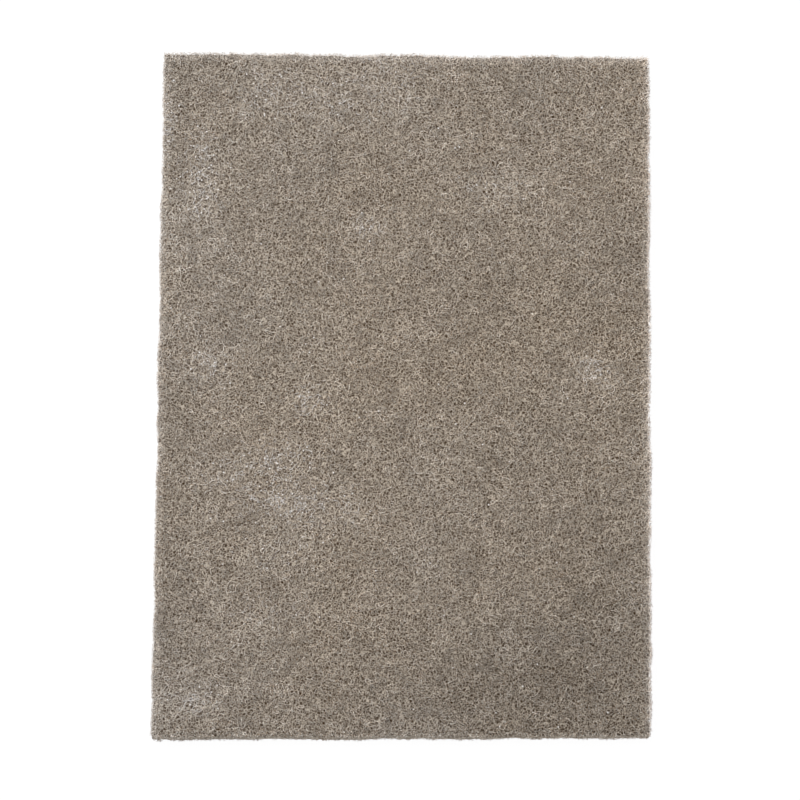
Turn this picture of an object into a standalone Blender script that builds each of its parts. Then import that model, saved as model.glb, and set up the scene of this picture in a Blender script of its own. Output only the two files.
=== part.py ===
"""Non-woven abrasive hand pad: one lofty web of crimped, grit-coated strands, cut as a rectangle.

The pad lies flat with +Z up, its length along Y, and its origin at the centre of its underside.
Where strands cross on a face they are bonded in knots, all at the level that the web was pressed
to, and the ridges of strands between the knots fence in open pits. The knife pinched the cut
edges a little, and the springy web swells out between the two faces.
Lengths are in metres.
"""

import math

import bmesh
import bpy
import numpy as np
from mathutils.geometry import delaunay_2d_cdt

# The pad as a whole
PAD_WIDTH = 0.158
PAD_LENGTH = 0.224
PAD_THICKNESS = 0.008

# The cut outline. The knife went a little askew, so each corner is off square, by (x, y)
FRONT_LEFT_OFF = (-0.00044, -0.00074)
FRONT_RIGHT_OFF = (-0.00010, 0.00074)
REAR_RIGHT_OFF = (0.00010, -0.00037)
REAR_LEFT_OFF = (0.00044, 0.00037)
CORNER_RADIUS = 0.0016
CORNER_STEPS = 3
OUTLINE_STEP = 0.0042
WANDER_SWING = 0.0002
WANDER_LENGTH = 0.047
OUTLINE_SEED = 11

# The cut sides, seen from the edge
PINCH_DEPTH = 0.0007
PINCH_REACH = 0.0035
SIDE_ROWS = 3
SIDE_SWELL = 0.0005
SIDE_RAGGED = 0.0005
SIDE_SEED = 5

# The knots and pits of each face. A gap is the least distance from one to the next
TRIES = 12000
KNOTS_PER_FACE = 1150
KNOT_GAP = 0.0039
PITS_PER_FACE = 1200
PIT_GAP = 0.0026
PIT_DEPTH = 0.0015
SHALLOWEST_PIT = 0.0006
RIM_GAP = 0.0017
TOP_SEED = 41
UNDERSIDE_SEED = 97

WEB_COLOUR = (0.27, 0.225, 0.18, 1.0)
WEB_ROUGHNESS = 0.85


def clear_scene():
    for old in list(bpy.data.objects):
        bpy.data.objects.remove(old)


def corner_points():
    """The corners of the cut before they are rounded, counter-clockwise from the front left."""
    half = np.array((PAD_WIDTH, PAD_LENGTH)) / 2
    return np.array(
        (
            half * (-1, -1) + FRONT_LEFT_OFF,
            half * (1, -1) + FRONT_RIGHT_OFF,
            half * (1, 1) + REAR_RIGHT_OFF,
            half * (-1, 1) + REAR_LEFT_OFF,
        )
    )


def unit(vector):
    return vector / np.linalg.norm(vector)


def corner_arc(before, corner, after):
    """The points of the arc that rounds one corner."""
    to_before = unit(before - corner)
    to_after = unit(after - corner)
    half_angle = math.acos(to_before @ to_after) / 2
    centre = corner + unit(to_before + to_after) * CORNER_RADIUS / math.sin(half_angle)
    first = corner + to_before * CORNER_RADIUS / math.tan(half_angle) - centre
    across = np.array((-first[1], first[0]))
    turns = np.linspace(0, math.pi - 2 * half_angle, CORNER_STEPS + 1)
    return centre + np.outer(np.cos(turns), first) + np.outer(np.sin(turns), across)


def side_points(start, end, chance):
    """The points between two corners, where the knife wandered off the straight line."""
    run = end - start
    length = np.linalg.norm(run)
    share = np.linspace(0, 1, max(3, round(length / OUTLINE_STEP) + 1))[1:-1]
    wave = np.sin(2 * math.pi * (share * length / WANDER_LENGTH + chance.random()))
    stray = WANDER_SWING * wave * np.sin(math.pi * share)
    outward = unit(np.array((run[1], -run[0])))
    return start + np.outer(share, run) + np.outer(stray, outward)


def outline_points():
    """The widest outline of the pad, seen from above and counter-clockwise, about its middle."""
    chance = np.random.default_rng(OUTLINE_SEED)
    corners = corner_points()
    before = np.roll(corners, 1, axis=0)
    after = np.roll(corners, -1, axis=0)
    arcs = [corner_arc(*three) for three in zip(before, corners, after)]
    stretches = []
    for arc, next_arc in zip(arcs, arcs[1:] + arcs[:1]):
        stretches += [arc, side_points(arc[-1], next_arc[0], chance)]
    outline = np.concatenate(stretches)
    return outline - (outline.min(axis=0) + outline.max(axis=0)) / 2


def outward_directions(outline):
    """The direction out of the pad at each point of its outline."""
    runs = np.roll(outline, -1, axis=0) - np.roll(outline, 1, axis=0)
    runs /= np.linalg.norm(runs, axis=1, keepdims=True)
    return np.column_stack((runs[:, 1], -runs[:, 0]))


def depth_inside(points, rim):
    """How far inside the rim each point lies. It is negative outside."""
    runs = np.roll(rim, -1, axis=0) - rim
    reach = points[:, None] - rim
    share = np.clip((reach * runs).sum(axis=2) / (runs * runs).sum(axis=1), 0, 1)
    distances = np.linalg.norm(reach - share[..., None] * runs, axis=2)
    each = np.arange(len(points))
    nearest = distances.argmin(axis=1)
    run = runs[nearest]
    side = run[:, 0] * reach[each, nearest, 1] - run[:, 1] * reach[each, nearest, 0]
    return np.copysign(distances[each, nearest], side)


def anywhere(chance, rim):
    """Points thrown at random over a face, without those that fall near its rim or outside."""
    thrown = chance.uniform(-0.5, 0.5, (TRIES, 2)) * (PAD_WIDTH, PAD_LENGTH)
    return thrown[depth_inside(thrown, rim) > RIM_GAP]


def keep_apart(thrown, placed, gap):
    """The thrown points that lie at least the gap from what is placed and from each other."""
    room = np.concatenate([placed, thrown])
    count = len(placed)
    for point in thrown:
        if np.linalg.norm(room[:count] - point, axis=1).min() >= gap:
            room[count] = point
            count += 1
    return room[len(placed) : count]


def tangle(rim, seed):
    """The points of one face, its rim first, and how far each is sunk below the face's level."""
    chance = np.random.default_rng(seed)
    knots = keep_apart(anywhere(chance, rim), rim, KNOT_GAP)[:KNOTS_PER_FACE]
    level = np.concatenate([rim, knots])
    pits = keep_apart(anywhere(chance, rim), level, PIT_GAP)[:PITS_PER_FACE]
    points = np.concatenate([level, pits])
    sunk = np.zeros(len(points))
    sunk[len(level) :] = chance.uniform(SHALLOWEST_PIT, PIT_DEPTH, len(pits))
    nearness = np.clip(1 - depth_inside(points, rim) / PINCH_REACH, 0, 1)
    nearness[: len(rim)] = 1
    return points, sunk + PINCH_DEPTH * nearness**2


def add_face(mesh, rim, seed, faces_up):
    """Adds one face as a sheet of triangles, and gives its vertices along the rim."""
    points, sunk = tangle(rim, seed)
    loop = list(range(len(rim)))
    places, _, triangles, sources, *_ = delaunay_2d_cdt(points.tolist(), [], [loop], 1, 1e-7)
    verts = {}
    for place, source in zip(places, sources):
        z = PAD_THICKNESS - sunk[source[0]] if faces_up else sunk[source[0]]
        verts[source[0]] = mesh.verts.new((place.x, place.y, z))
    for triangle in triangles:
        corners = [verts[sources[index][0]] for index in triangle]
        mesh.faces.new(corners if faces_up else corners[::-1])
    return [verts[index] for index in loop]


def add_sides(mesh, outline, outward, top_rim, underside_rim):
    """Joins the rims with rows of faces. The web swells between them, and its cut is ragged."""
    chance = np.random.default_rng(SIDE_SEED)
    rows = [top_rim]
    for row in range(1, SIDE_ROWS + 1):
        share = row / (SIDE_ROWS + 1)
        z = PAD_THICKNESS - PINCH_DEPTH - share * (PAD_THICKNESS - 2 * PINCH_DEPTH)
        pulled_in = SIDE_SWELL * (1 - math.sin(math.pi * share))
        ragged = SIDE_RAGGED * chance.uniform(-0.5, 0.5, len(outline))
        places = outline + outward * (ragged - pulled_in)[:, None]
        rows.append([mesh.verts.new((x, y, z)) for x, y in places])
    rows.append(underside_rim)
    for upper, lower in zip(rows, rows[1:]):
        for index in range(len(upper)):
            mesh.faces.new((upper[index - 1], lower[index - 1], lower[index], upper[index]))


def web_material():
    material = bpy.data.materials.new("grit_coated_web")
    material.use_nodes = True
    shader = material.node_tree.nodes["Principled BSDF"]
    shader.inputs["Base Color"].default_value = WEB_COLOUR
    shader.inputs["Roughness"].default_value = WEB_ROUGHNESS
    shader.inputs["Metallic"].default_value = 0.0
    return material


def make_pad():
    outline = outline_points()
    outward = outward_directions(outline)
    rim = outline - outward * SIDE_SWELL
    mesh = bmesh.new()
    top_rim = add_face(mesh, rim, TOP_SEED, True)
    underside_rim = add_face(mesh, rim, UNDERSIDE_SEED, False)
    add_sides(mesh, outline, outward, top_rim, underside_rim)
    bmesh.ops.triangulate(mesh, faces=mesh.faces)
    data = bpy.data.meshes.new("abrasive_pad")
    mesh.to_mesh(data)
    mesh.free()
    data.materials.append(web_material())
    pad = bpy.data.objects.new("abrasive_pad", data)
    bpy.context.scene.collection.objects.link(pad)


clear_scene()
make_pad()
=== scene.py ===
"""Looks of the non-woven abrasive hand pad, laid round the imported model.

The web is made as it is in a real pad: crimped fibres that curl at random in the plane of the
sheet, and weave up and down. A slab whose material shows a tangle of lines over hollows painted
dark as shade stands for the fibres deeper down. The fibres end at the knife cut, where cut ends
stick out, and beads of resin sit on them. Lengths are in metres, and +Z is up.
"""

import math
from itertools import combinations

import bpy
import numpy as np
from mathutils import Matrix, Vector


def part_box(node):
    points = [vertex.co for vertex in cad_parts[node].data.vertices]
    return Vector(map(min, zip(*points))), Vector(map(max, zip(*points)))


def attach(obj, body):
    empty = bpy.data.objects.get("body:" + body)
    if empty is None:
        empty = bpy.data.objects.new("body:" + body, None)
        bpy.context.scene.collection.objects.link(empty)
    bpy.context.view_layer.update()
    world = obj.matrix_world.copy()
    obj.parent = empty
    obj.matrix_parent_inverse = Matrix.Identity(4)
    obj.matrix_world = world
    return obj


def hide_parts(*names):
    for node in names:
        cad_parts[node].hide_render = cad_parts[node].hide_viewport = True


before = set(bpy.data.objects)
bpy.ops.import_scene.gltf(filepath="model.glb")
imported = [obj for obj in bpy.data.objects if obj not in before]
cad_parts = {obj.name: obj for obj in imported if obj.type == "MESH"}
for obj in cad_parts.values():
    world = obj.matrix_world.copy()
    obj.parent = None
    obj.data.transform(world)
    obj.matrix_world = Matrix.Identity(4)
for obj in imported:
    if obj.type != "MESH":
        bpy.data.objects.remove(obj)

NODE = "abrasive_pad"
BODY = "root"
SEED = 20

# Fibres of the faces: how many, in how many goes, how many places are tried for each, how many
# steps each takes, and how far outside the pad one may start
TOP_FIBRES = 3520
UNDERSIDE_FIBRES = 640
GENERATIONS = 8
CANDIDATES = 4
FIBRE_STEPS = 35
MARGIN = 0.006

# Their curl: the spread of their curvature, how long one curl lasts, how far a fibre may turn in one
# step, in radians, and the shortest and longest step
CURL = 2000.0
CURL_LENGTH = 0.0024
TURN = 0.80
SHORTEST_STEP = 0.00034
LONGEST_STEP = 0.00085

# They steer away from crowded places, so that they fill the sheet evenly. Crowding is kept in
# cells, and a length of fibre adds to so many cells on each side. A fibre looks ahead by a length,
# and aside by an angle
CROWD_CELL = 0.00025
CROWD_WIDTH = 0.00036
CROWD_REACH = 4
LOOK_AHEAD = 0.00065
LOOK_ASIDE = 0.9
STEERING = 1500.0

# Their thickness and tone. Each fibre has its own: they differ by a spread, and by so many times
# that at most. Grit makes the thickness uneven along a fibre too
FIBRE_RADIUS = 0.000093
RADIUS_SPREAD = 0.12
RADIUS_MOST = 1.5
GRIT_SPREAD = 0.12
TUBE_SIDES = 3
FIBRE_TONE_SPREAD = 0.21
FIBRE_TONE_MOST = 1.4

# How they weave up and down under the level of a face, which is pinched near the cut. Nearness is 1
# on the cut, and grows a little outside it
WEAVE_DEPTH = 0.00108
WEAVE_SHORTEST = 0.0028
WEAVE_LONGEST = 0.0062
LAYER_DEPTH = 0.00030
PINCH_DEPTH = 0.0003
PINCH_REACH = 0.0035
MOST_NEARNESS = 1.1

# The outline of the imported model. A side runs between two corners, beyond a share of the way out
PACKED_CORNER_RADIUS = 0.0016
SIDE_BEYOND = 0.8
LEVEL_TOLERANCE = 0.00001
OUTLINE_DECIMALS = 7

# The knife cut. A fibre stops short of it or sticks out of it, by the looseness of the side: left,
# right, front and rear. The step that is cut keeps at least a share of its length
CORNER_RADIUS = 0.0009
LEAST_SHARE = 0.1
CUT_SHORT = 0.00040
CUT_PROUD = 0.00040
LOOSENESS = (0.5, 0.9, 0.12, 0.8)
UNDERSIDE_LOOSENESS = 0.4

# Short fibres that curl along the cut, in a band inside it
TOP_RIM_FIBRES = 2000
UNDERSIDE_RIM_FIBRES = 500
RIM_STEPS = 6
RIM_BAND = 0.0009

# Fibres in the cut sides, which swell a little between the faces. They start up to an overrun
# beyond the faces, and are cut short of them by a share of the pinch
SIDE_FIBRES = 560
SIDE_OVERRUN = 0.001
SIDE_PINCH = 0.6
SIDE_DEPTH = 0.0007
SIDE_JITTER = (-0.0002, 0.0003)
SIDE_STEEPNESS = 1.3
SIDE_SWELL = 0.0001

# Cut ends that stick out of the sides. A share of them crowds near the two faces. How far one sticks
# out is by luck, and it leans and rises at random. Each pair of the bow is a share of its length,
# and how much of its hook aside it has there
STUBS = 2400
RIM_STUBS = 0.7
RIM_HEIGHT = 0.0014
RIM_CROWDING = 1.5
STUB_ROOT = 0.00096
STUB_PROUD = 0.00022
STUB_LUCK = 0.6
STUB_MOST = 2.2
STUB_LEAN = 0.55
STUB_RISE = 0.30
LEAST_OUTGOING = 0.35
STUB_HOOK = 0.00035
STUB_BOW = ((0, 0), (0.5, 0.15), (0.85, 0.55), (1, 1.3))
STUB_THINNESS = 0.90

# Painted light: how much lighter and paler fibres are drawn at the left, right, front and rear cut,
# where the white surroundings light the cut, and how far in. Those of the cut sides are drawn
# lighter all over, as painted light for sides that get less light than the top
RIM_LIGHT_TONES = (0.30, 0.85, 0.0, 0.68)
RIM_LIGHT_TONE_WIDTH = 0.0010
RIM_LIGHT_PALES = (0.45, 0.75, 0.0, 0.70)
RIM_LIGHT_PALE_WIDTH = 0.0008
SIDE_LIGHT_TONE = 1.14

# The slab of deeper fibres. It lies lower than the face, less so near the cut, and ends short of
# the left, right, front and rear side. It has a random relief, except near the cut, and rows of
# vertices round its walls
CORE_DEPTH = 0.00135
CORE_INSETS = (0.00042, 0.00066, 0.00028, 0.00062)
CORE_RIM_RISE = 0.45
CORE_RIM_REACH = 0.0030
CORE_CELL = 0.0024
CORE_RELIEF = 0.00015
RELIEF_NEARNESS = 0.5
CORE_ROWS = 3

# Its tone down the walls, row by row to the lower rim, their paleness, and how much lighter and
# paler its top is at the left, right, front and rear cut. The walls' tones are painted light:
# lighter than the top, and lighter downwards where the floor bounces light. The top's lighter,
# paler rim is painted light from the white surroundings
WALL_LIGHT_TONES = (1.35, 1.60, 1.90, 2.05)
WALL_PALE = 0.04
CORE_RIM_LIGHT_TONES = (0.8, 0.8, 0.0, 0.8)
CORE_RIM_LIGHT_PALES = (0.15, 0.28, 0.0, 0.26)
CORE_RIM_LIGHT_WIDTH = 0.0017
CORE_PATCH_PALE = 0.07

# Its networks of lines, one above the other: cells to a metre, shift, width and height. The lines
# stray, are at full height over a share of their width, and are stretched in height. The height is
# also how light a layer's lines are drawn, so the lower layers are darker, as painted shade
CORE_LAYERS = (
    (1050.0, 0.31, 0.14, 1.10),
    (1250.0, 0.57, 0.12, 0.60),
    (1500.0, 0.83, 0.12, 0.20),
)
CORE_STRAY = 0.0011
CORE_STRAY_FINENESS = 1.3
CORE_STRAY_DETAIL = 1.0
CORE_LINE_CREST = 0.25
CORE_HEIGHT_SCALE = 0.8

# The bake map: its margin, and in the slab's the width of a face, the start of the underside, and
# the start and width of the walls
MAP_MARGIN = 0.01
MAP_SPAN = 1 - 2 * MAP_MARGIN
FACE_MAP_WIDTH = 0.43
UNDERSIDE_MAP_START = 0.46
WALL_MAP_START = 0.91
WALL_MAP_WIDTH = 0.08

# Beads of resin, most of them in the pale patches. So many places are tried for each, and each sinks
# by a share of its radius, and by luck a little deeper
BEADS = 900
BEAD_TRIES = 40
BEAD_RADIUS = 0.00027
BEAD_SIZES = (0.6, 1.3)
BEAD_FLATNESS = 0.6
BEAD_SINK = 0.75
BEAD_DEEPER = 0.00012
BEAD_MARGIN = 0.0012
BEAD_TONES = (1.0, 1.25)
BEAD_PALES = (0.8, 1.0)
BEADS_IN_PATCHES = 0.8
BEADS_ANYWHERE = 0.003

# Worn, whitish points of fibre: their share away from the patches, and how sharply one stands out
STRAY_PALE = 0.015
PALE_SHARPNESS = 6

# Places on the top: x, y, half width and half length, in millimetres, and a strength. The strength
# is the share of whitish points there, or how much lighter or darker the web is
MILLIMETRES_TO_A_METRE = 1000
PALE_PATCHES = (
    (-77, 88, 2.5, 9, 0.42),
    (-65, 69, 5, 10, 0.52),
    (-42, 99, 12, 7, 0.28),
    (-10, 97, 13, 7, 0.23),
    (-3, 108, 8, 4, 0.22),
    (30, 68, 9, 3.5, 0.36),
    (-11, 54, 4, 3.5, 0.45),
    (61, 7, 4, 4.5, 0.52),
    (-63, 8, 6, 5, 0.35),
    (-29, -3, 4, 4, 0.55),
    (-42, -30, 14, 10, 0.25),
    (-35, -37, 6, 4, 0.44),
    (-40, -21, 6, 4, 0.35),
    (-57, -27, 5, 5, 0.20),
    (-17, -39, 6, 4, 0.25),
    (-38, -53, 9, 5, 0.15),
    (8, -56, 4, 4, 0.20),
    (-43, -73, 9, 4, 0.27),
    (-65, -100, 6, 3.5, 0.42),
)
TONE_PATCHES = (
    # The first row, a narrow stripe along the right cut, is painted light from the white
    # surroundings
    (79, 0, 2.2, 300, 0.07),
    (61, 8, 5, 6, 0.08),
    (-7, -40, 13, 4, 0.07),
    (-10, -70, 10, 9, 0.05),
    (-5, 12, 18, 14, 0.045),
    (-75, -9, 6, 11, -0.09),
    (-74, -73, 6, 12, -0.09),
    (50, -90, 17, 15, -0.13),
    (68, -66, 10, 10, -0.06),
    (41, -109, 9, 7, -0.05),
    (18, -100, 9, 8, -0.12),
    (19, 37, 9, 8, -0.09),
    (73, 44, 8, 9, -0.11),
    (40, 95, 10, 7, -0.07),
    (36, -15, 9, 9, -0.05),
    (-50, 20, 8, 8, -0.05),
    (-36, 66, 7, 7, -0.06),
    (-60, 40, 8, 8, 0.04),
    (40, -60, 8, 6, 0.05),
    (70, -20, 7, 8, 0.05),
)

# How much lighter the web is in a pale patch, and the painted light gradient that makes it lighter
# towards two opposite corners and darker towards the others
PATCH_TONE = 0.20
PAINTED_LIGHT_TWIST = 8.0

# The web is warmest at a centre, and greyer and a little paler by this reach away from it
COOL_CENTRE = (0.042, 0.005)
COOL_REACH = (0.16, 0.16)
COOL_TINT = (0.965, 1.0, 1.055, 1.0)
COOL_PALE = 0.02

# Colours. The specks are the grit on a fibre, the mottle is where the web is closer or more open,
# and the tints follow both that and the tone
WHITE = (1.0, 1.0, 1.0, 1.0)
DARK_GRIT_COLOUR = (0.296, 0.184, 0.093, 1.0)
LIGHT_GRIT_COLOUR = (0.989, 0.937, 0.869, 1.0)
PALE_COLOUR = (0.945, 0.916, 0.905, 1.0)
DEEP_FIBRE_COLOUR = (0.599, 0.518, 0.429, 1.0)
# The hollows' colour is painted shade, deep in the web where little light gets
HOLLOW_SHADE_COLOUR = (0.048, 0.021, 0.005, 1.0)
OPEN_TINT = (1.02, 1.0, 0.955, 1.0)
CLOSE_TINT = (0.998, 1.0, 0.995, 1.0)
TONE_HUE = 0.6
SPECK_SCALE = 3400.0
SPECK_DETAIL = 0.0
SPECK_RANGE = (0.28, 0.72)
MOTTLE_SCALE = 16.0
MOTTLE_DETAIL = 3.0
MOTTLE_ROUGHNESS = 0.75
MOTTLE_RANGE = (0.25, 0.75)
FIBRE_MOTTLE = 0.07
CORE_MOTTLE = (0.88, 1.12)

# Gloss and bump
FIBRE_ROUGHNESS = 0.55
FIBRE_SPECULAR = 0.25
GRIT_SCALE = 9000.0
GRIT_DETAIL = 1.0
GRIT_BUMP = 0.5
GRIT_HEIGHT = 0.00006
CORE_ROUGHNESS = 0.8
CORE_SPECULAR = 0.0
CORE_BUMP = 1.0
CORE_BUMP_HEIGHT = 0.0002

# The camera: 12.6 degrees off straight above, 1.8 m away
TILT = math.radians(12.6)
ROLL = math.radians(0.3)
CAMERA_DISTANCE = 1.8
CAMERA_TARGET = (-0.00115, -0.00207, 0.004)
FOCAL_LENGTH = 252.7
CAMERA_CLIP = (0.1, 10.0)

# The sky's share of the light, the lamp, and the floor: how much light it bounces on to the pad, and
# how it looks to the camera, which is a faint shade on a glow
WORLD_LIGHT = 0.55
LAMP_PLACE = (-0.22, 0.20, 0.47)
LAMP_SIZE = 0.6
FLOOR_SIZE = 3.0
FLOOR_BOUNCE = 0.75
FLOOR_SHADE = 0.10
FLOOR_GLOW = 0.95

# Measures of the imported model, the upward direction, and the one source of random numbers
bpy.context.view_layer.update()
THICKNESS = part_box(NODE)[1].z
MIDDLE = THICKNESS / 2
UP = np.array((0.0, 0.0, 1.0))
chance = np.random.default_rng(SEED)


def cut_outline():
    """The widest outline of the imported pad, half way up its sides, counter-clockwise."""
    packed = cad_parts[NODE].data.vertices
    places = np.empty(len(packed) * 3, np.float32)
    packed.foreach_get("co", places)
    places = places.reshape(-1, 3).astype(float)
    level = np.abs(places[:, 2] - MIDDLE) < LEVEL_TOLERANCE
    ring = np.unique(places[level, :2].round(OUTLINE_DECIMALS), axis=0)
    return ring[np.argsort(np.arctan2(ring[:, 1], ring[:, 0]))]


OUTLINE = cut_outline()


def side_line(along, across, sign):
    """One side of the outline, as a function of the place along it."""
    reach = OUTLINE.max(axis=0)
    outer = OUTLINE[:, across] * sign > SIDE_BEYOND * reach[across]
    between_corners = np.abs(OUTLINE[:, along]) < reach[along] - 2 * PACKED_CORNER_RADIUS
    line = OUTLINE[outer & between_corners]
    line = line[np.argsort(line[:, along])]
    return lambda at: np.interp(at, line[:, along], line[:, across])


LEFT, RIGHT = side_line(1, 0, -1), side_line(1, 0, 1)
FRONT, REAR = side_line(0, 1, -1), side_line(0, 1, 1)


def gaps(x, y):
    """How far inside the left, right, front and rear side a place is."""
    return np.stack((x - LEFT(y), RIGHT(y) - x, y - FRONT(x), REAR(x) - y))


def depth_inside(x, y):
    """How far inside the cut a place is, seen from above. It is negative outside."""
    left, right, front, rear = gaps(x, y)
    across, along = np.minimum(left, right), np.minimum(front, rear)
    near = np.hypot(np.maximum(CORNER_RADIUS - across, 0), np.maximum(CORNER_RADIUS - along, 0))
    return np.where(near > 0, CORNER_RADIUS - near, np.minimum(across, along))


def looseness(x, y):
    """How far fibres stick out of the side nearest to a place, as a share of the most."""
    return np.array(LOOSENESS)[gaps(x, y).argmin(axis=0)]


def ring_measures():
    """The outline as places, outward directions and the length run at each, closed."""
    closed = np.vstack((OUTLINE, OUTLINE[:1]))
    run = np.concatenate(([0], np.cumsum(np.linalg.norm(np.diff(closed, axis=0), axis=1))))
    ahead, behind = np.roll(OUTLINE, -1, axis=0), np.roll(OUTLINE, 1, axis=0)
    along = ahead - behind
    outward = np.column_stack((along[:, 1], -along[:, 0]))
    outward /= np.linalg.norm(outward, axis=1, keepdims=True)
    return closed, np.vstack((outward, outward[:1])), run


RING, OUTWARD, RING_RUN = ring_measures()


def along_ring(at):
    """Places on the outline by the length run round it, and the outward direction at each."""
    at = np.mod(at, RING_RUN[-1])
    place = np.stack([np.interp(at, RING_RUN, RING[:, axis]) for axis in (0, 1)], axis=-1)
    out = np.stack([np.interp(at, RING_RUN, OUTWARD[:, axis]) for axis in (0, 1)], axis=-1)
    return place, out / np.linalg.norm(out, axis=-1, keepdims=True)


class Crowd:
    """How crowded with fibre each place of a sheet is. Along one lone fibre it is about 1."""

    def __init__(self, reach):
        self.low = -reach
        self.shape = np.ceil(2 * reach / CROWD_CELL).astype(int) + 1
        self.cells = np.zeros(self.shape)
        offset = np.arange(-CROWD_REACH, CROWD_REACH + 1)
        spread = np.exp(-((offset * CROWD_CELL / CROWD_WIDTH) ** 2) / 2)
        self.offsets = np.stack(np.meshgrid(offset, offset, indexing="ij"), axis=-1).reshape(-1, 2)
        self.stamp = np.outer(spread, spread).ravel() / (math.sqrt(2 * math.pi) * CROWD_WIDTH)

    def cell(self, place):
        """The row and column of each place."""
        return np.rint((place - self.low) / CROWD_CELL).astype(int)

    def add(self, place, length):
        """Adds a length of fibre at each place."""
        cells = self.cell(place)[:, None] + self.offsets
        weights = length[:, None] * self.stamp
        fits = ((cells >= 0) & (cells < self.shape)).all(axis=2)
        cells = cells[fits]
        np.add.at(self.cells, (cells[:, 0], cells[:, 1]), weights[fits])

    def at(self, place):
        """How crowded each place is."""
        cells = np.clip(self.cell(place), 0, self.shape - 1)
        return self.cells[cells[:, 0], cells[:, 1]]


def headed(angle):
    """Steps of length 1 at angles in a plane."""
    return np.column_stack((np.cos(angle), np.sin(angle)))


def crimped_walk(start, steps, crowd=None, steepness=1.0):
    """Fibres that curl at random in a plane: their places, and the length run at each."""
    count = len(start)
    place = start
    heading = chance.uniform(0, 2 * math.pi, count)
    curve = chance.normal(0, CURL, count)
    run = np.zeros(count)
    places, runs = [place], [run]
    for _ in range(steps):
        bend = curve
        if crowd:
            left = crowd.at(place + LOOK_AHEAD * headed(heading + LOOK_ASIDE))
            right = crowd.at(place + LOOK_AHEAD * headed(heading - LOOK_ASIDE))
            bend = curve + STEERING * np.clip(right - left, -1, 1)
        step = np.clip(TURN / np.maximum(np.abs(bend), 1), SHORTEST_STEP, LONGEST_STEP)
        bend = np.clip(bend, -TURN / SHORTEST_STEP, TURN / SHORTEST_STEP)
        heading = heading + bend * step / 2
        ahead = step[:, None] * headed(heading) * (1, steepness)
        if crowd:
            crowd.add(place + ahead / 2, step)
        place = place + ahead
        heading = heading + bend * step / 2
        run = run + step
        lasting = np.exp(-step / CURL_LENGTH)
        curve = curve * lasting + CURL * np.sqrt(1 - lasting**2) * chance.normal(size=count)
        places.append(place)
        runs.append(run)
    return np.stack(places, axis=1), np.stack(runs, axis=1)


def waves(runs):
    """A wave from 0 to 1 along each fibre's run, with a length and phase of its own."""
    length = chance.uniform(WEAVE_SHORTEST, WEAVE_LONGEST, (len(runs), 1))
    phase = chance.uniform(0, 2 * math.pi, (len(runs), 1))
    return 0.5 - 0.5 * np.cos(2 * math.pi * runs / length + phase)


def kept_runs(points, depth, limit):
    """Cuts the fibres where depth falls below the limit, with a point at each cut."""
    runs = []
    for line, deep, least in zip(points, depth, limit):
        inside = deep > least
        edges = np.flatnonzero(np.diff(np.concatenate(([0], inside.astype(int), [0]))))
        for first, end in zip(edges[::2], edges[1::2]):
            part = line[first:end]
            if first > 0:
                share = (deep[first] - least) / (deep[first] - deep[first - 1])
                cut = line[first] + max(share, LEAST_SHARE) * (line[first - 1] - line[first])
                part = np.vstack((cut, part))
            if end < len(line):
                share = (deep[end - 1] - least) / (deep[end - 1] - deep[end])
                cut = line[end - 1] + max(share, LEAST_SHARE) * (line[end] - line[end - 1])
                part = np.vstack((part, cut))
            if len(part) > 2:
                runs.append(part)
    return runs


def tubes(runs, radii, upward, tones, pales):
    """Closed tubes along runs of points: vertices, triangles, tone and paleness."""
    lengths = np.array([len(run) for run in runs])
    points = np.concatenate(runs)
    starts = np.concatenate(([0], np.cumsum(lengths)[:-1]))
    ends = starts + lengths - 1
    ahead = np.minimum(np.arange(len(points)) + 1, np.repeat(ends, lengths))
    behind = np.maximum(np.arange(len(points)) - 1, np.repeat(starts, lengths))
    along = points[ahead] - points[behind]
    along /= np.linalg.norm(along, axis=1, keepdims=True)
    side = np.cross(upward, along)
    side /= np.linalg.norm(side, axis=1, keepdims=True)
    top = np.cross(along, side)
    turn = np.repeat(chance.uniform(0, 2 * math.pi, len(runs)), lengths)
    rings = []
    for corner in range(TUBE_SIDES):
        angle = (turn + 2 * math.pi * corner / TUBE_SIDES)[:, None]
        rings.append(points + radii[:, None] * (np.cos(angle) * side + np.sin(angle) * top))
    vertices = np.stack(rings, axis=1).reshape(-1, 3)
    first = np.setdiff1d(np.arange(len(points)), ends) * TUBE_SIDES
    triangles = []
    for corner in range(TUBE_SIDES):
        here, there = first + corner, first + (corner + 1) % TUBE_SIDES
        triangles.append(np.column_stack((here, there, there + TUBE_SIDES)))
        triangles.append(np.column_stack((here, there + TUBE_SIDES, here + TUBE_SIDES)))
    for rows, order in ((starts, (0, 2, 1)), (ends, (0, 1, 2))):
        triangles.append(rows[:, None] * TUBE_SIDES + np.array(order))
    tone = np.repeat(tones, TUBE_SIDES)
    pale = np.repeat(pales, TUBE_SIDES)
    return vertices, np.concatenate(triangles), tone, pale


def add_piece(name, vertices, triangles, tone, pale, bake_map, material):
    """Makes a smooth mesh object of the pad's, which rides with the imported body."""
    mesh = bpy.data.meshes.new(name)
    mesh.vertices.add(len(vertices))
    mesh.vertices.foreach_set("co", vertices.astype(np.float32).ravel())
    mesh.loops.add(triangles.size)
    mesh.loops.foreach_set("vertex_index", triangles.astype(np.int32).ravel())
    mesh.polygons.add(len(triangles))
    mesh.polygons.foreach_set("loop_start", np.arange(0, triangles.size, 3, dtype=np.int32))
    mesh.update(calc_edges=True)
    mesh.shade_smooth()
    for title, values in (("tone", tone), ("pale", pale)):
        layer = mesh.attributes.new(title, "FLOAT", "POINT")
        layer.data.foreach_set("value", values.astype(np.float32))
    uv = mesh.uv_layers.new(name="OFBake")
    uv.data.foreach_set("uv", bake_map.astype(np.float32).ravel())
    mesh.materials.append(material)
    piece = bpy.data.objects.new(name, mesh)
    bpy.context.scene.collection.objects.link(piece)
    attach(piece, BODY)
    return piece


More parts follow.
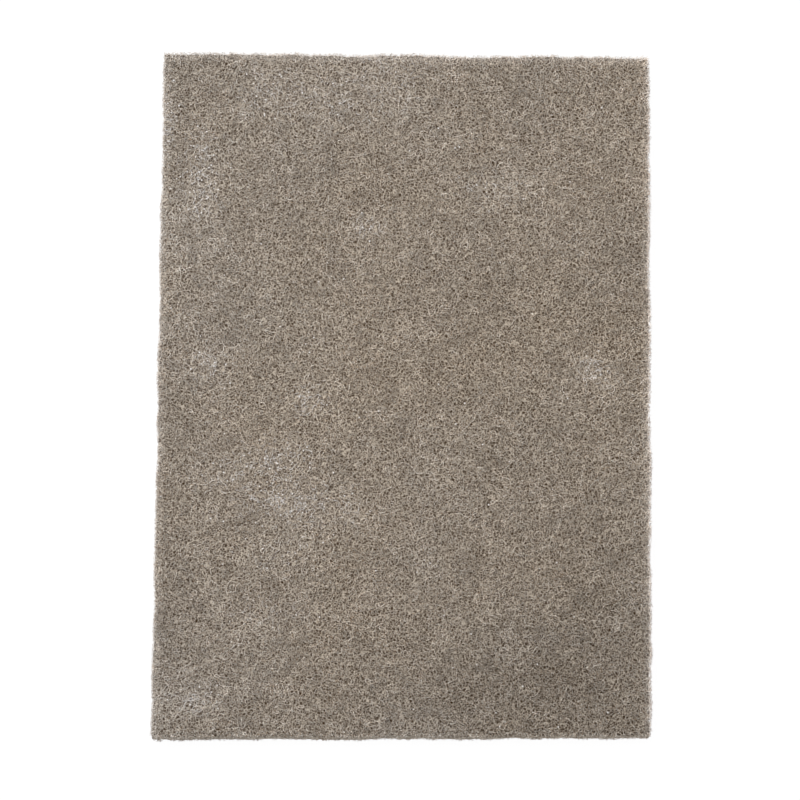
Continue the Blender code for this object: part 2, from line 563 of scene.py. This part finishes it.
def fitted_map(across, along, triangles):
    """Lays two measures of the vertices over a unit square, for each corner of the triangles."""
    both = np.column_stack((across, along))
    low, high = both.min(axis=0), both.max(axis=0)
    return (MAP_MARGIN + MAP_SPAN * (both - low) / (high - low))[triangles.ravel()]


def flat_map(vertices, triangles):
    """The bake map of a piece that lies flat, as it looks from above."""
    return fitted_map(vertices[:, 0], vertices[:, 1], triangles)


def side_map(vertices, triangles):
    """The bake map of a piece that runs round the sides: the way round, and the height."""
    turn = np.arctan2(vertices[:, 1], vertices[:, 0])
    return fitted_map(turn, vertices[:, 2], triangles)


def patches(x, y, rows):
    """The summed strength of soft round patches at each place."""
    total = np.zeros_like(x)
    for patch_x, patch_y, half_width, half_length, strength in rows:
        across = (x * MILLIMETRES_TO_A_METRE - patch_x) / half_width
        along = (y * MILLIMETRES_TO_A_METRE - patch_y) / half_length
        total += strength * np.exp(-(across**2 + along**2) / 2)
    return total


def coolness(x, y):
    """How much greyer the web is than at its warmest place, from 0 to 1."""
    across = (x - COOL_CENTRE[0]) / COOL_REACH[0]
    along = (y - COOL_CENTRE[1]) / COOL_REACH[1]
    return np.minimum(across**2 + along**2, 1)


def pale_share(x, y):
    """The share of whitish points of fibre at a place on the top."""
    return patches(x, y, PALE_PATCHES) + COOL_PALE * coolness(x, y)


def tone_and_painted_light(x, y):
    """How light or dark the web is drawn at a place on the top, about 1, with a painted light
    gradient.
    """
    lift = patches(x, y, TONE_PATCHES) + PATCH_TONE * patches(x, y, PALE_PATCHES)
    return np.exp(PAINTED_LIGHT_TWIST * x * y) * (1 + lift)


def fibre_looks(runs, worn):
    """Radius, tone and paleness at each point of the runs. A worn face has the patches."""
    lengths = [len(run) for run in runs]
    points = np.concatenate(runs)
    own = np.repeat(chance.normal(0, 1, len(runs)), lengths).clip(-RADIUS_MOST, RADIUS_MOST)
    radii = FIBRE_RADIUS * (1 + RADIUS_SPREAD * own)
    radii = radii * (1 + GRIT_SPREAD * chance.uniform(-1, 1, len(points)))
    own_tone = chance.normal(0, 1, len(runs)).clip(-FIBRE_TONE_MOST, FIBRE_TONE_MOST)
    tone = 1 + FIBRE_TONE_SPREAD * np.repeat(own_tone, lengths)
    x, y = points[:, 0], points[:, 1]
    share = np.full(len(points), STRAY_PALE)
    if worn:
        tone = tone * tone_and_painted_light(x, y)
        share = share + pale_share(x, y)
    pale = np.clip((share - chance.random(len(points))) * PALE_SHARPNESS, 0, 1)
    # Painted light: fibres near the cut are drawn lighter and paler, as if lit by the white
    # surroundings
    for lift, paling, inside in zip(RIM_LIGHT_TONES, RIM_LIGHT_PALES, np.maximum(gaps(x, y), 0)):
        tone = tone * (1 + lift * np.exp(-inside / RIM_LIGHT_TONE_WIDTH))
        pale = np.maximum(pale, paling * np.exp(-inside / RIM_LIGHT_PALE_WIDTH))
    return radii, tone, pale


def laid(plan, runs, faces_up):
    """Weaves fibres into a face from their places in plan, and cuts them to the outline."""
    depth = depth_inside(plan[..., 0], plan[..., 1])
    nearness = np.clip(1 - depth / PINCH_REACH, 0, MOST_NEARNESS)
    wave = waves(runs)
    sunk = chance.uniform(0, LAYER_DEPTH, (len(runs), 1)) + WEAVE_DEPTH * wave
    sunk = sunk + PINCH_DEPTH * nearness**2 + FIBRE_RADIUS * (1 + RADIUS_SPREAD)
    z = THICKNESS - sunk if faces_up else sunk
    outermost = plan[np.arange(len(plan)), depth.argmin(axis=1)]
    proud = CUT_PROUD * looseness(*outermost.T) * (1 if faces_up else UNDERSIDE_LOOSENESS)
    limit = chance.random(len(plan)) * (proud + CUT_SHORT) - proud
    return kept_runs(np.dstack((plan, z)), depth, limit)


def rim_fibres(count, faces_up):
    """Short fibres that curl along the cut, where loops of the web were cut open."""
    place, out = along_ring(chance.uniform(0, RING_RUN[-1], count))
    start = place - out * chance.uniform(0, RIM_BAND, (count, 1))
    return laid(*crimped_walk(start, RIM_STEPS), faces_up)


def face_fibres(count, faces_up):
    """The runs of fibre of one face, cut to the outline."""
    reach = OUTLINE.max(axis=0) + MARGIN
    crowd = Crowd(reach + MARGIN)
    walks = []
    for _ in range(GENERATIONS):
        start = chance.uniform(-1, 1, (CANDIDATES * count // GENERATIONS, 2)) * reach
        start = start[np.argsort(crowd.at(start))[: count // GENERATIONS]]
        walks.append(crimped_walk(start, FIBRE_STEPS, crowd))
    return laid(*(np.concatenate(part) for part in zip(*walks)), faces_up)


def in_bands(runs, count):
    """Sorts runs into bands of the pad from front to rear, with about as many points in each."""
    runs = sorted(runs, key=lambda run: run[:, 1].mean())
    total = sum(len(run) for run in runs)
    bands, band, taken = [], [], 0
    for run in runs:
        band.append(run)
        taken += len(run)
        if taken >= total * (len(bands) + 1) / count and len(bands) < count - 1:
            bands.append(band)
            band = []
    return bands + [band]


def add_face(title, count, rim_count, faces_up, bands, material):
    """Adds one face's fibres, as bands of the pad from front to rear."""
    runs = face_fibres(count, faces_up) + rim_fibres(rim_count, faces_up)
    for band, part in zip(bands, in_bands(runs, len(bands))):
        radii, tone, pale = fibre_looks(part, faces_up)
        vertices, triangles, tone, pale = tubes(part, radii, UP, tone, pale)
        bake_map = flat_map(vertices, triangles)
        add_piece(f"web_{title}_{band}", vertices, triangles, tone, pale, bake_map, material)


def on_side(at, z, depth):
    """Places on the cut side, by the length run round it, the height and the depth inside."""
    place, out = along_ring(at)
    share = np.clip((z - PINCH_DEPTH) / (THICKNESS - 2 * PINCH_DEPTH), 0, 1)
    pulled_in = SIDE_SWELL * (1 - np.sin(math.pi * share))
    place = place - out * (depth + pulled_in)[..., None]
    return np.concatenate((place, z[..., None]), axis=-1), out


def side_outward(place):
    """The outward direction of the side nearest to a place."""
    return OUTWARD[np.linalg.norm(RING - place, axis=1).argmin()]


def add_sides(material):
    """Adds the fibres that lie on the cut sides."""
    at = chance.uniform(0, RING_RUN[-1], SIDE_FIBRES)
    z = chance.uniform(-SIDE_OVERRUN, THICKNESS + SIDE_OVERRUN, SIDE_FIBRES)
    start = np.column_stack((at, z))
    plan, runs = crimped_walk(start, FIBRE_STEPS, steepness=SIDE_STEEPNESS)
    at, z = plan[..., 0], plan[..., 1]
    depth = SIDE_DEPTH * waves(runs)
    depth = depth + FIBRE_RADIUS + chance.uniform(*SIDE_JITTER, (SIDE_FIBRES, 1))
    places, _ = on_side(at, z, depth)
    room = np.minimum(z, THICKNESS - z) - PINCH_DEPTH * SIDE_PINCH
    parts = kept_runs(places, room, np.zeros(SIDE_FIBRES))
    radii, tone, pale = fibre_looks(parts, False)
    outward = [np.append(side_outward(run[:, :2].mean(axis=0)), 0.0) for run in parts]
    outward = np.repeat(outward, [len(run) for run in parts], axis=0)
    # The side fibres are drawn lighter, as painted light for sides that get less light than the top
    vertices, triangles, tone, pale = tubes(parts, radii, outward, tone * SIDE_LIGHT_TONE, pale)
    bake_map = side_map(vertices, triangles)
    add_piece("web_sides", vertices, triangles, tone, pale, bake_map, material)


def add_stubs(material):
    """Adds the cut ends that stick out of the sides."""
    at = chance.uniform(0, RING_RUN[-1], STUBS)
    low, high = 2 * FIBRE_RADIUS, THICKNESS - 2 * FIBRE_RADIUS
    z = chance.uniform(low, high, STUBS)
    from_rim = low + RIM_HEIGHT * chance.random(STUBS) ** RIM_CROWDING
    luck = chance.random(STUBS)
    z = np.where(luck < RIM_STUBS / 2, from_rim, z)
    z = np.where(luck > 1 - RIM_STUBS / 2, THICKNESS - from_rim, z)
    root, out = on_side(at, z, np.full(STUBS, STUB_ROOT))
    aside = np.column_stack((-out[:, 1], out[:, 0]))
    lean = chance.normal(0, STUB_LEAN, (STUBS, 1))
    rise = chance.normal(0, STUB_RISE, STUBS)
    direction = np.column_stack((out + lean * aside, rise))
    direction /= np.linalg.norm(direction, axis=1, keepdims=True)
    proud = STUB_PROUD * looseness(root[:, 0], root[:, 1])
    reach = STUB_ROOT + proud * chance.exponential(STUB_LUCK, STUBS).clip(0, STUB_MOST)
    outgoing = (direction[:, :2] * out).sum(axis=1).clip(LEAST_OUTGOING, 1)
    length = (reach / outgoing)[:, None]
    hook = np.column_stack((aside, np.zeros(STUBS))) * chance.normal(0, STUB_HOOK, (STUBS, 1))
    places = []
    for share, bow in STUB_BOW:
        place = root + direction * length * share + hook * bow
        place[:, 2] = place[:, 2].clip(low, THICKNESS - FIBRE_RADIUS)
        places.append(place)
    parts = list(np.stack(places, axis=1))
    radii, tone, pale = fibre_looks(parts, False)
    # The cut ends are drawn lighter too, as painted light like the sides
    radii, tone = radii * STUB_THINNESS, tone * SIDE_LIGHT_TONE
    vertices, triangles, tone, pale = tubes(parts, radii, UP, tone, pale)
    bake_map = side_map(vertices, triangles)
    add_piece("cut_ends", vertices, triangles, tone, pale, bake_map, material)


def icosahedron():
    """The corners and faces of an icosahedron of radius 1."""
    golden = (1 + math.sqrt(5)) / 2
    pairs = [(a, b * golden) for a in (-1, 1) for b in (-1, 1)]
    corners = [(0, a, b) for a, b in pairs] + [(a, b, 0) for a, b in pairs]
    corners = np.array(corners + [(b, 0, a) for a, b in pairs])
    joined = np.isclose(np.linalg.norm(corners[:, None] - corners, axis=2), 2)
    faces = []
    for i, j, k in combinations(range(len(corners)), 3):
        if joined[i, j] and joined[j, k] and joined[i, k]:
            normal = np.cross(corners[j] - corners[i], corners[k] - corners[i])
            faces.append((i, j, k) if normal @ corners[i] > 0 else (i, k, j))
    return corners / np.linalg.norm(corners[0]), np.array(faces)


def add_beads(material):
    """Adds beads of resin on the fibres of the top."""
    reach = OUTLINE.max(axis=0)
    x, y = (chance.uniform(-1, 1, (BEAD_TRIES * BEADS, 2)) * reach).T
    likely = chance.random(len(x)) < BEADS_ANYWHERE + BEADS_IN_PATCHES * pale_share(x, y) ** 2
    keep = (depth_inside(x, y) > BEAD_MARGIN) & likely
    x, y = x[keep][:BEADS], y[keep][:BEADS]
    count = len(x)
    z = THICKNESS - BEAD_SINK * BEAD_RADIUS - chance.uniform(0, BEAD_DEEPER, count)
    corners, faces = icosahedron()
    size = BEAD_RADIUS * chance.uniform(*BEAD_SIZES, (count, 1, 3)) * (1, 1, BEAD_FLATNESS)
    vertices = (corners * size + np.column_stack((x, y, z))[:, None]).reshape(-1, 3)
    triangles = (np.arange(count)[:, None, None] * len(corners) + faces).reshape(-1, 3)
    tone = np.repeat(chance.uniform(*BEAD_TONES, count), len(corners))
    pale = np.repeat(chance.uniform(*BEAD_PALES, count), len(corners))
    bake_map = flat_map(vertices, triangles)
    add_piece("resin_beads", vertices, triangles, tone, pale, bake_map, material)


def core_grid():
    """A grid over the slab, in rows from front to rear: the shares across and along, x and y."""
    across, along = np.rint(OUTLINE.max(axis=0) * 2 / CORE_CELL).astype(int)
    v, u = np.meshgrid(np.linspace(0, 1, along + 1), np.linspace(0, 1, across + 1), indexing="ij")
    left, right, front, rear = (inset + SIDE_SWELL for inset in CORE_INSETS)
    y = FRONT(0) + front + v * (REAR(0) - FRONT(0) - front - rear)
    x = LEFT(y) + left + u * (RIGHT(y) - LEFT(y) - left - right)
    y = FRONT(x) + front + v * (REAR(x) - FRONT(x) - front - rear)
    return u, v, x, y


def core_sheet(x, y, faces_up):
    """The places of the slab's top or underside."""
    depth = depth_inside(x, y)
    nearness = np.clip(1 - depth / PINCH_REACH, 0, 1)
    at_rim = np.clip(1 - depth / CORE_RIM_REACH, 0, 1)
    sunk = CORE_DEPTH * (1 - CORE_RIM_RISE * at_rim) + PINCH_DEPTH * nearness**2
    relief = CORE_RELIEF * chance.uniform(-1, 1, x.shape)
    sunk = sunk + relief * (nearness < RELIEF_NEARNESS)
    return np.dstack((x, y, THICKNESS - sunk if faces_up else sunk)).reshape(-1, 3)


def core_shape(u, v, x, y):
    """The slab's vertices, and the numbers of those round it, row by row from the upper rim down."""
    top, under = core_sheet(x, y, True), core_sheet(x, y, False)
    index = np.arange(x.size).reshape(x.shape)
    rim = np.concatenate((index[0, :-1], index[:-1, -1], index[-1, :0:-1], index[:0:-1, 0]))
    out = np.dstack(((u == 1) * 1.0 - (u == 0), (v == 1) * 1.0 - (v == 0))).reshape(-1, 2)[rim]
    out /= np.linalg.norm(out, axis=1, keepdims=True)
    places, rows = [top, under], [rim]
    for row in range(CORE_ROWS):
        share = (row + 1) / (CORE_ROWS + 1)
        wall = top[rim] + share * (under[rim] - top[rim])
        wall[:, :2] += out * SIDE_SWELL * math.sin(math.pi * share)
        places.append(wall)
        rows.append(2 * x.size + row * len(rim) + np.arange(len(rim)))
    return np.concatenate(places), rows + [rim + x.size]


def core_triangles(u, v, rows):
    """The slab's triangles, and the bake map's place for each of their corners."""
    index = np.arange(u.size).reshape(u.shape)
    a, b = index[:-1, :-1].ravel(), index[:-1, 1:].ravel()
    c, d = index[1:, 1:].ravel(), index[1:, :-1].ravel()
    top = np.vstack((np.column_stack((a, b, c)), np.column_stack((a, c, d))))
    under = top[:, ::-1]
    face_map = MAP_MARGIN + np.column_stack((u.ravel(), v.ravel())) * (FACE_MAP_WIDTH, MAP_SPAN)
    to_underside = (UNDERSIDE_MAP_START - MAP_MARGIN, 0)
    triangles = [top, under + u.size]
    bake_map = [face_map[top.ravel()], face_map[under.ravel()] + to_underside]
    column = np.arange(len(rows[0]))[:, None]
    for row, (above, below) in enumerate(zip(rows, rows[1:])):
        a, b, c, d = above, np.roll(above, -1), np.roll(below, -1), below
        triangles += [np.column_stack((a, d, c)), np.column_stack((a, c, b))]
        for columns_on, rows_down in (((0, 0, 1), (0, 1, 1)), ((0, 1, 1), (0, 1, 0))):
            wall_v = MAP_MARGIN + MAP_SPAN * (column + columns_on) / len(column)
            wall_u = WALL_MAP_START + WALL_MAP_WIDTH * (row + np.array(rows_down)) / (CORE_ROWS + 1)
            wall_u = np.broadcast_to(wall_u, wall_v.shape)
            bake_map.append(np.column_stack((wall_u.ravel(), wall_v.ravel())))
    return np.vstack(triangles), np.vstack(bake_map)


def core_looks(x, y, rows, count):
    """Tone and paleness of the slab's vertices: its top, then its underside and its walls."""
    tone, pale = np.ones(count), np.full(count, WALL_PALE)
    # Painted light: the walls are lighter than the top, and lighter downwards where the floor
    # bounces light
    for row, wall_light_tone in zip(rows[1:], WALL_LIGHT_TONES):
        tone[row] = wall_light_tone
    pale[x.size : 2 * x.size] = 0
    top_tone = tone_and_painted_light(x, y)
    top_pale = CORE_PATCH_PALE * np.clip(patches(x, y, PALE_PATCHES), 0, 1)
    # Painted light: the slab's top is drawn lighter and paler near the cut, as if lit by the white
    # surroundings
    for lift, paling, inside in zip(CORE_RIM_LIGHT_TONES, CORE_RIM_LIGHT_PALES, gaps(x, y)):
        nearness = np.clip(1 - inside / CORE_RIM_LIGHT_WIDTH, 0, 1)
        top_tone = top_tone * (1 + lift * nearness)
        top_pale = np.maximum(top_pale, paling * nearness)
    tone[: x.size], pale[: x.size] = top_tone.ravel(), top_pale.ravel()
    return tone, pale


def add_core(material):
    """Adds the slab that stands for the deeper fibres, closed on all sides."""
    u, v, x, y = core_grid()
    vertices, rows = core_shape(u, v, x, y)
    triangles, bake_map = core_triangles(u, v, rows)
    tone, pale = core_looks(x, y, rows, len(vertices))
    core = add_piece("web_core", vertices, triangles, tone, pale, bake_map, material)
    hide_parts(NODE)


class Nodes:
    """The nodes of a material or a world, with one way to add and join them."""

    def __init__(self, tree):
        self.tree = tree

    def add(self, kind, inputs=None, output=0, **settings):
        """Adds a node and gives one of its outputs. An input is a value or another node's output."""
        node = self.tree.nodes.new(kind)
        for name, value in settings.items():
            setattr(node, name, value)
        for name, value in (inputs or {}).items():
            if isinstance(value, bpy.types.NodeSocket):
                self.tree.links.new(value, node.inputs[name])
            else:
                node.inputs[name].default_value = value
        return None if output is None else node.outputs[output]

    def maths(self, operation, first, second):
        """One operation on two values."""
        return self.add("ShaderNodeMath", {0: first, 1: second}, operation=operation)

    def spread(self, value, low, high, to_low, to_high, **settings):
        """A value moved from one range to another."""
        inputs = {"Value": value, "From Min": low, "From Max": high}
        inputs |= {"To Min": to_low, "To Max": to_high}
        return self.add("ShaderNodeMapRange", inputs, "Result", **settings)

    def noise(self, place, scale, detail, roughness=0.5, output="Fac"):
        """A smooth random value or colour at each place."""
        inputs = {"Vector": place, "Scale": scale, "Detail": detail, "Roughness": roughness}
        return self.add("ShaderNodeTexNoise", inputs, output)

    def mixed(self, share, first, second, blend="MIX"):
        """A colour with a share of a second one mixed in, or multiplied in."""
        inputs = {"Factor": share, "A": first, "B": second}
        return self.add("ShaderNodeMix", inputs, "Result", data_type="RGBA", blend_type=blend)

    def scaled(self, colour, factor):
        """A colour made lighter or darker."""
        return self.add("ShaderNodeVectorMath", {0: colour, "Scale": factor}, operation="SCALE")

    def bump(self, strength, distance, height):
        """A normal that is tilted by a height."""
        inputs = {"Strength": strength, "Distance": distance, "Height": height}
        return self.add("ShaderNodeBump", inputs, "Normal")

    def attribute(self, name):
        """A value that the mesh carries at its vertices."""
        return self.add("ShaderNodeAttribute", output="Fac", attribute_name=name)

    def place(self):
        """The place in the piece, in metres."""
        return self.add("ShaderNodeTexCoord", output="Object")

    def seen_directly(self):
        """1 for the camera's rays, and for those that gloss or glass sends on. 0 for the rest."""
        path = self.tree.nodes.new("ShaderNodeLightPath").outputs
        glossy = self.maths("MAXIMUM", path["Is Camera Ray"], path["Is Glossy Ray"])
        return self.maths("MAXIMUM", glossy, path["Is Transmission Ray"])


def cooled(nodes, place, colour):
    """Turns a colour greyer away from the web's warmest place."""
    scale = (1 / COOL_REACH[0], 1 / COOL_REACH[1], 0)
    shift = (-COOL_CENTRE[0] / COOL_REACH[0], -COOL_CENTRE[1] / COOL_REACH[1], 0)
    inputs = {0: place, 1: scale, 2: shift}
    away = nodes.add("ShaderNodeVectorMath", inputs, operation="MULTIPLY_ADD")
    square = nodes.add("ShaderNodeVectorMath", {0: away, 1: away}, "Value", operation="DOT_PRODUCT")
    return nodes.mixed(square, colour, COOL_TINT, "MULTIPLY")


def mottled(nodes, place):
    """Slow blotches where the web is closer or more open, from about -1 to 1."""
    blotch = nodes.noise(place, MOTTLE_SCALE, MOTTLE_DETAIL, MOTTLE_ROUGHNESS)
    return nodes.spread(blotch, *MOTTLE_RANGE, -1.0, 1.0)


def tinted(nodes, place, colour, closeness, tone):
    """Tones a colour, and gives it the hue of its place: browner where the web is dark or open."""
    closer = nodes.spread(closeness, -1.0, 1.0, 0.0, 1.0)
    paler = nodes.maths("MULTIPLY", nodes.maths("SUBTRACT", tone, 1.0), TONE_HUE)
    tint = nodes.mixed(nodes.maths("ADD", closer, paler), OPEN_TINT, CLOSE_TINT)
    tinted_colour = nodes.mixed(1.0, nodes.scaled(colour, tone), tint, "MULTIPLY")
    return cooled(nodes, place, tinted_colour)


def new_material(name):
    """A new material, and its nodes."""
    material = bpy.data.materials.new(name)
    material.use_nodes = True
    return material, Nodes(material.node_tree)


def finish(material, colour, normal, roughness, specular):
    """Joins a colour and a bump to a material's surface, and sets its gloss."""
    surface = material.node_tree.nodes["Principled BSDF"].inputs
    surface["Roughness"].default_value = roughness
    surface["Specular IOR Level"].default_value = specular
    material.node_tree.links.new(colour, surface["Base Color"])
    material.node_tree.links.new(normal, surface["Normal"])


def fibre_material():
    """Nylon fibre coated with resin and dark and light grit, worn whitish here and there."""
    material, nodes = new_material("coated_fibre")
    place = nodes.place()
    speck = nodes.noise(place, SPECK_SCALE, SPECK_DETAIL)
    speck = nodes.spread(speck, *SPECK_RANGE, 0.0, 1.0, clamp=False)
    closeness = mottled(nodes, place)
    speck = nodes.maths("ADD", speck, nodes.maths("MULTIPLY", closeness, FIBRE_MOTTLE))
    gritty = nodes.mixed(speck, DARK_GRIT_COLOUR, LIGHT_GRIT_COLOUR)
    coated = tinted(nodes, place, gritty, closeness, nodes.attribute("tone"))
    colour = nodes.mixed(nodes.attribute("pale"), coated, PALE_COLOUR)
    grit = nodes.noise(place, GRIT_SCALE, GRIT_DETAIL)
    bump = nodes.bump(GRIT_BUMP, GRIT_HEIGHT, grit)
    finish(material, colour, bump, FIBRE_ROUGHNESS, FIBRE_SPECULAR)
    return material


def network_layer(nodes, place, scale, shift, width, height):
    """The lines of a network of curled cells, from 0 to its height, which also sets how light they
    are drawn.
    """
    inputs = {"Vector": place, "Location": (shift, 2 * shift, 0), "Scale": (1, 1, CORE_HEIGHT_SCALE)}
    moved = nodes.add("ShaderNodeMapping", inputs)
    noise = nodes.noise(moved, scale * CORE_STRAY_FINENESS, CORE_STRAY_DETAIL, output="Color")
    inputs = {0: noise, 1: (CORE_STRAY,) * 3, 2: moved}
    curled = nodes.add("ShaderNodeVectorMath", inputs, operation="MULTIPLY_ADD")
    inputs = {"Vector": curled, "Scale": scale}
    cells = nodes.add("ShaderNodeTexVoronoi", inputs, "Distance", feature="DISTANCE_TO_EDGE")
    crest = width * CORE_LINE_CREST
    return nodes.spread(cells, crest, width, height, 0.0, interpolation_type="SMOOTHSTEP")


def core_material():
    """Deeper fibres: networks of curled lines, one above the other, over hollows in painted shade.
    """
    material, nodes = new_material("deeper_web")
    place = nodes.place()
    height = 0.0
    for layer in CORE_LAYERS:
        height = nodes.maths("MAXIMUM", height, network_layer(nodes, place, *layer))
    closeness = mottled(nodes, place)
    share = nodes.maths("MULTIPLY", height, nodes.spread(closeness, -1.0, 1.0, *CORE_MOTTLE))
    lined = nodes.mixed(share, HOLLOW_SHADE_COLOUR, DEEP_FIBRE_COLOUR)
    colour = tinted(nodes, place, lined, closeness, nodes.attribute("tone"))
    colour = nodes.mixed(nodes.attribute("pale"), colour, PALE_COLOUR)
    bump = nodes.bump(CORE_BUMP, CORE_BUMP_HEIGHT, height)
    finish(material, colour, bump, CORE_ROUGHNESS, CORE_SPECULAR)
    return material


def add_floor():
    """A white floor that shows white to the camera and keeps the pad's faint shadow."""
    half = FLOOR_SIZE / 2
    corners = [(-half, -half, 0), (half, -half, 0), (half, half, 0), (-half, half, 0)]
    mesh = bpy.data.meshes.new("floor")
    mesh.from_pydata(corners, [], [(0, 1, 2, 3)])
    material, nodes = new_material("white_floor")
    nodes.tree.nodes.clear()
    bounce = nodes.add("ShaderNodeBsdfDiffuse", {"Color": (FLOOR_BOUNCE,) * 3 + (1,)})
    shade = nodes.add("ShaderNodeBsdfDiffuse", {"Color": (FLOOR_SHADE,) * 3 + (1,)})
    glow = nodes.add("ShaderNodeEmission", {"Strength": FLOOR_GLOW})
    shown = nodes.add("ShaderNodeAddShader", {0: shade, 1: glow})
    both = nodes.add("ShaderNodeMixShader", {0: nodes.seen_directly(), 1: bounce, 2: shown})
    nodes.add("ShaderNodeOutputMaterial", {"Surface": both}, None)
    mesh.materials.append(material)
    floor = bpy.data.objects.new("floor", mesh)
    bpy.context.scene.collection.objects.link(floor)


def add_lights():
    """An even sky that looks white to the camera, and one big soft lamp at the rear left.

    The lamp's energy lights a white sheet at the origin to about 1, together with the sky.
    """
    world = bpy.data.worlds.new("studio")
    bpy.context.scene.world = world
    world.use_nodes = True
    world.node_tree.nodes.clear()
    nodes = Nodes(world.node_tree)
    sky = nodes.add("ShaderNodeBackground", {"Color": WHITE, "Strength": WORLD_LIGHT})
    white = nodes.add("ShaderNodeBackground", {"Color": WHITE, "Strength": 1.0})
    both = nodes.add("ShaderNodeMixShader", {0: nodes.seen_directly(), 1: sky, 2: white})
    nodes.add("ShaderNodeOutputWorld", {"Surface": both}, None)
    light = bpy.data.lights.new("softbox", "AREA")
    light.shape = "DISK"
    light.size = LAMP_SIZE
    distance = Vector(LAMP_PLACE).length
    squared_to_rim = distance**2 + (LAMP_SIZE / 2) ** 2
    light.energy = (1 - WORLD_LIGHT) * math.pi**2 * distance * squared_to_rim / LAMP_PLACE[2]
    lamp = bpy.data.objects.new("softbox", light)
    lamp.location = LAMP_PLACE
    lamp.rotation_euler = (-Vector(LAMP_PLACE)).to_track_quat("-Z", "Y").to_euler()
    bpy.context.scene.collection.objects.link(lamp)


def add_camera():
    """A long lens in front of the pad and nearly straight above it."""
    camera = bpy.data.cameras.new("camera")
    camera.lens = FOCAL_LENGTH
    camera.clip_start, camera.clip_end = CAMERA_CLIP
    eye = bpy.data.objects.new("camera", camera)
    turned = Matrix.Rotation(TILT, 4, "X") @ Matrix.Rotation(ROLL, 4, "Z")
    away = Vector((0, -math.sin(TILT), math.cos(TILT))) * CAMERA_DISTANCE
    eye.matrix_world = Matrix.Translation(Vector(CAMERA_TARGET) + away) @ turned
    bpy.context.scene.collection.objects.link(eye)
    bpy.context.scene.camera = eye


fibre = fibre_material()
add_core(core_material())
add_face("top", TOP_FIBRES, TOP_RIM_FIBRES, True, ("front", "near", "far", "rear"), fibre)
add_face("underside", UNDERSIDE_FIBRES, UNDERSIDE_RIM_FIBRES, False, ("front", "rear"), fibre)
add_sides(fibre)
add_stubs(fibre)
add_beads(fibre)
add_floor()
add_lights()
add_camera()

bpy.context.scene.view_settings.view_transform = "Standard"
